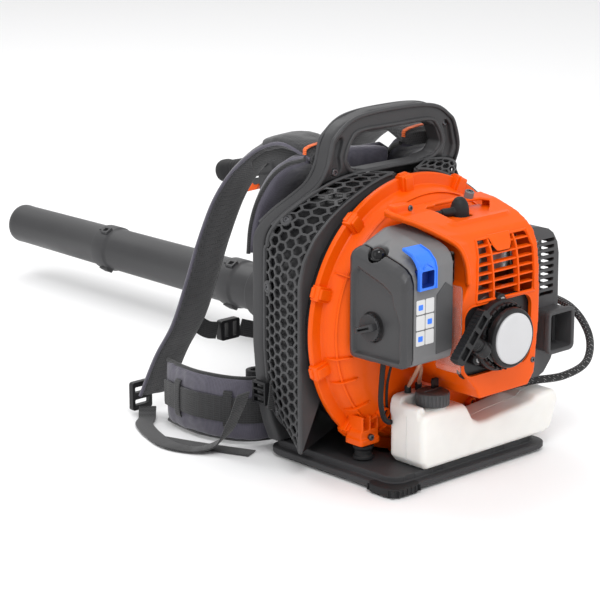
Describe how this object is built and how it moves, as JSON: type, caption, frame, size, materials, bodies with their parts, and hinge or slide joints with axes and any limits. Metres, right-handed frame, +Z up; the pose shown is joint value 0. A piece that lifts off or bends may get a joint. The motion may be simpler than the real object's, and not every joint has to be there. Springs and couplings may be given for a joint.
{
  "type": "backpack leaf blower",
  "caption": "Backpack leaf blower: a two-stroke engine and fan on a moulded frame with a harness, and a jointed blower tube with a throttle grip.",
  "frame": {"origin": "centre of the base plate's underside, on the ground", "axes": "+X to the wearer's right (the blower tube's side), +Y forwards, away from the engine towards the wearer and along the blower tube, +Z up"},
  "size_m": [0.4988, 1.3688, 0.476],
  "materials": {
    "orange_plastic": "moulded, satin sheen",
    "dark_plastic": "fine moulded texture",
    "grey_plastic": "smooth satin",
    "mid_grey_plastic": "fine moulded texture",
    "black_plastic": "satin",
    "blue_plastic": "satin",
    "tank_plastic": "translucent milky white",
    "clear_plastic": "clear sheet",
    "silver_plastic": "light grey, satin",
    "alloy": "die cast",
    "steel": "plain",
    "rubber": "matte",
    "pad_fabric": "padded woven cloth, purple-grey",
    "mesh_fabric": "spacer mesh, black",
    "webbing": "woven webbing, black",
    "filter_paper": "pleated paper",
    "fuel_hose": "clear amber hose",
    "ceramic": "glazed ceramic",
    "braid": "black braided sleeve with pale flecks"
  },
  "bodies": {
    "frame": {"base_plate": "dark_plastic", "back_frame": "grey_plastic", "grille_left": "dark_plastic", "grille_right": "dark_plastic", "mount_left": "rubber", "mount_right": "rubber", "fan_housing_front": "orange_plastic", "fan_housing_rear": "black_plastic", "crankcase": "alloy", "cylinder": "alloy", "spark_plug": "ceramic", "spark_plug_boot": "rubber", "engine_shroud": "orange_plastic", "starter_housing": "black_plastic", "starter_disc": "silver_plastic", "starter_rope": "webbing", "muffler": "steel", "muffler_guard": "dark_plastic", "exhaust_outlet": "dark_plastic", "carburettor": "alloy", "air_filter_base": "mid_grey_plastic", "air_filter_element": "filter_paper", "air_filter_cover": "dark_plastic", "splash_shield": "clear_plastic", "fuel_tank": "tank_plastic", "fuel_line_feed": "fuel_hose", "fuel_line_return": "fuel_hose", "vent_hose": "rubber", "throttle_conduit": "braid", "back_pad": "pad_fabric", "shoulder_strap_left": "mesh_fabric", "shoulder_strap_right": "mesh_fabric", "hip_belt": "pad_fabric", "sternum_strap_left": "webbing", "sternum_strap_right": "webbing", "sternum_buckle": "black_plastic", "adjuster_buckle_left": "black_plastic", "adjuster_webbing_left": "webbing"},
    "rotor": {"impeller": "dark_plastic", "crankshaft": "steel", "flywheel": "alloy"},
    "starter_grip": {"starter_handle": "black_plastic"},
    "rope_pulley": {"starter_pulley": "dark_plastic"},
    "primer_bulb": {"purge_bulb": "rubber"},
    "choke": {"choke_lever": "blue_plastic"},
    "filter_knob": {"cover_knob": "dark_plastic"},
    "filler_cap": {"fuel_cap": "dark_plastic"},
    "elbow_unit": {"elbow": "dark_plastic", "bellows": "rubber", "clamp_inner": "steel"},
    "swivel": {"clamp_outer": "steel"},
    "tube": {"control_tube": "grey_plastic", "middle_tube": "grey_plastic", "nozzle": "grey_plastic"},
    "handle": {"handle_clamp": "grey_plastic", "grip": "black_plastic"},
    "trigger": {"throttle_trigger": "orange_plastic"},
    "throttle_valve": {"throttle_lever": "steel"},
    "cruise": {"cruise_lever": "dark_plastic"},
    "switch": {"stop_switch": "orange_plastic"}
  },
  "joints": [
    {"name": "engine_spin", "type": "hinge", "parent": "frame", "child": "rotor", "pos_m": [0, 0, 0.2], "axis": [0, 1, 0], "continuous": true},
    {"name": "starter_pull", "type": "slide", "parent": "frame", "child": "starter_grip", "axis": [-0.7549, 0, 0.6559], "range_m": [0, 0.6], "stiffness_N_per_m": 6, "springref_m": -0.5, "deforming": ["starter_rope"]},
    {"name": "pulley_spin", "type": "hinge", "parent": "frame", "child": "rope_pulley", "pos_m": [0, -0.178, 0.2], "axis": [0, 1, 0], "range_deg": [0, 910]},
    {"name": "bulb_press", "type": "slide", "parent": "frame", "child": "primer_bulb", "axis": [0, 0, -1], "range_m": [0, 0.006], "stiffness_N_per_m": 600, "springref_m": -0.002, "deforming": ["purge_bulb"]},
    {"name": "choke_turn", "type": "hinge", "parent": "frame", "child": "choke", "pos_m": [-0.131, -0.128, 0.3275], "axis": [-1, 0, 0], "range_deg": [0, 30]},
    {"name": "knob_turn", "type": "hinge", "parent": "frame", "child": "filter_knob", "pos_m": [-0.1634, -0.086, 0.224], "axis": [1, 0, 0], "continuous": true},
    {"name": "cap_turn", "type": "hinge", "parent": "frame", "child": "filler_cap", "pos_m": [-0.055, -0.097, 0.099], "axis": [0, 0, 1], "continuous": true},
    {"name": "elbow_tilt", "type": "hinge", "parent": "frame", "child": "elbow_unit", "pos_m": [0.166, 0.047, 0.088], "axis": [1, 0, 0], "range_deg": [-1, 45], "deforming": ["throttle_conduit"]},
    {"name": "tube_swing", "type": "hinge", "parent": "elbow_unit", "child": "swivel", "pos_m": [0.212, 0.17975, 0.088], "axis": [0, 0, 1], "range_deg": [-25, 5], "deforming": ["bellows"]},
    {"name": "tube_twist", "type": "hinge", "parent": "swivel", "child": "tube", "pos_m": [0.212, 0.2555, 0.088], "axis": [0, 1, 0], "range_deg": [-60, 60]},
    {"name": "handle_slide", "type": "slide", "parent": "tube", "child": "handle", "axis": [0, 1, 0], "range_m": [-0.03, 0.03]},
    {"name": "trigger_squeeze", "type": "hinge", "parent": "handle", "child": "trigger", "pos_m": [0.212, 0.54149, 0.26311], "axis": [1, 0, 0], "range_deg": [0, 12], "stiffness_Nm_per_rad": 0.6, "springref_deg": -14.32},
    {"name": "valve_turn", "type": "hinge", "parent": "frame", "child": "throttle_valve", "pos_m": [-0.06, -0.09, 0.2525], "axis": [0, 0, 1], "range_deg": [0, 40]},
    {"name": "cruise_set", "type": "hinge", "parent": "handle", "child": "cruise", "pos_m": [0.191, 0.51054, 0.29608], "axis": [1, 0, 0], "range_deg": [0, 50]},
    {"name": "stop_slide", "type": "slide", "parent": "handle", "child": "switch", "axis": [0, 0.9703, -0.2419], "range_m": [0, 0.006]}
  ],
  "couplings": [
    {"joint": "pulley_spin", "follows": "starter_pull", "rad_per_m": 26.316},
    {"joint": "valve_turn", "follows": "trigger_squeeze", "ratio": 3.3}
  ]
}
